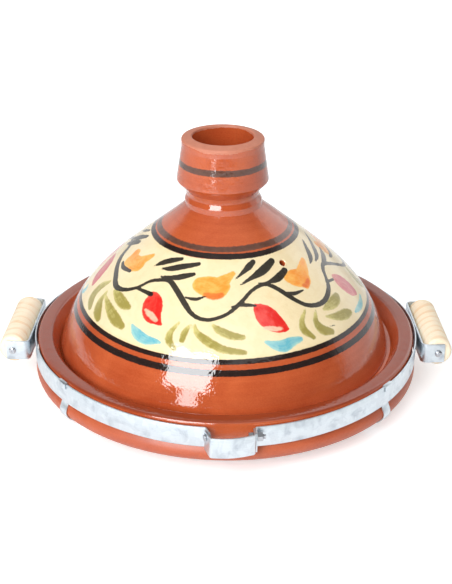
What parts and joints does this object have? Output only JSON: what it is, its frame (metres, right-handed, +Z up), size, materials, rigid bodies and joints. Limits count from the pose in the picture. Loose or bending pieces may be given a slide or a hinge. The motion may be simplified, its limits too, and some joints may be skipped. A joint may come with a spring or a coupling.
{
  "type": "tagine",
  "caption": "Glazed clay tagine: shallow dish with a painted domed lid and cup knob, held in a clamped steel band with wooden side grips.",
  "frame": {"origin": "on the dish's axis, at the underside of the lower strap, which is the surface the object stands on", "axes": "+Z up along the dish's axis, +X to the right from grip to grip, -Y to the front, where the band is clamped"},
  "size_m": [0.4042, 0.3615, 0.232],
  "materials": {
    "dish_glaze": "glossy terracotta glaze",
    "lid_glaze": "glossy terracotta glaze with a hand-painted cream band",
    "galvanised_steel": "galvanised strip, satin",
    "zinc_steel": "zinc-plated, satin",
    "pine": "bare turned pine"
  },
  "bodies": {
    "base": {"dish": "dish_glaze", "band": "galvanised_steel", "clasp_bridge": "galvanised_steel", "clasp_rivet": "zinc_steel", "clasp_bolt": "zinc_steel", "clasp_nut": "zinc_steel", "strap_upper": "galvanised_steel", "strap_lower": "galvanised_steel", "left_bracket": "galvanised_steel", "right_bracket": "galvanised_steel", "left_front_rivet": "galvanised_steel", "left_rear_rivet": "galvanised_steel", "right_front_rivet": "galvanised_steel", "right_rear_rivet": "galvanised_steel"},
    "lid": {"lid": "lid_glaze"},
    "left_handle": {"left_grip": "pine", "left_front_screw": "zinc_steel", "left_rear_screw": "zinc_steel"},
    "right_handle": {"right_grip": "pine", "right_front_screw": "zinc_steel", "right_rear_screw": "zinc_steel"}
  },
  "joints": [
    {"name": "lid_lift", "type": "slide", "parent": "base", "child": "lid", "axis": [0, 0, 1], "range_m": [0, 0.12]},
    {"name": "left_grip_turn", "type": "hinge", "parent": "base", "child": "left_handle", "pos_m": [-0.18822, 0.00822, 0.0411], "axis": [0.0436, 0.999, 0], "continuous": true},
    {"name": "right_grip_turn", "type": "hinge", "parent": "base", "child": "right_handle", "pos_m": [0.18822, 0.00822, 0.0411], "axis": [-0.0436, 0.999, 0], "continuous": true}
  ]
}
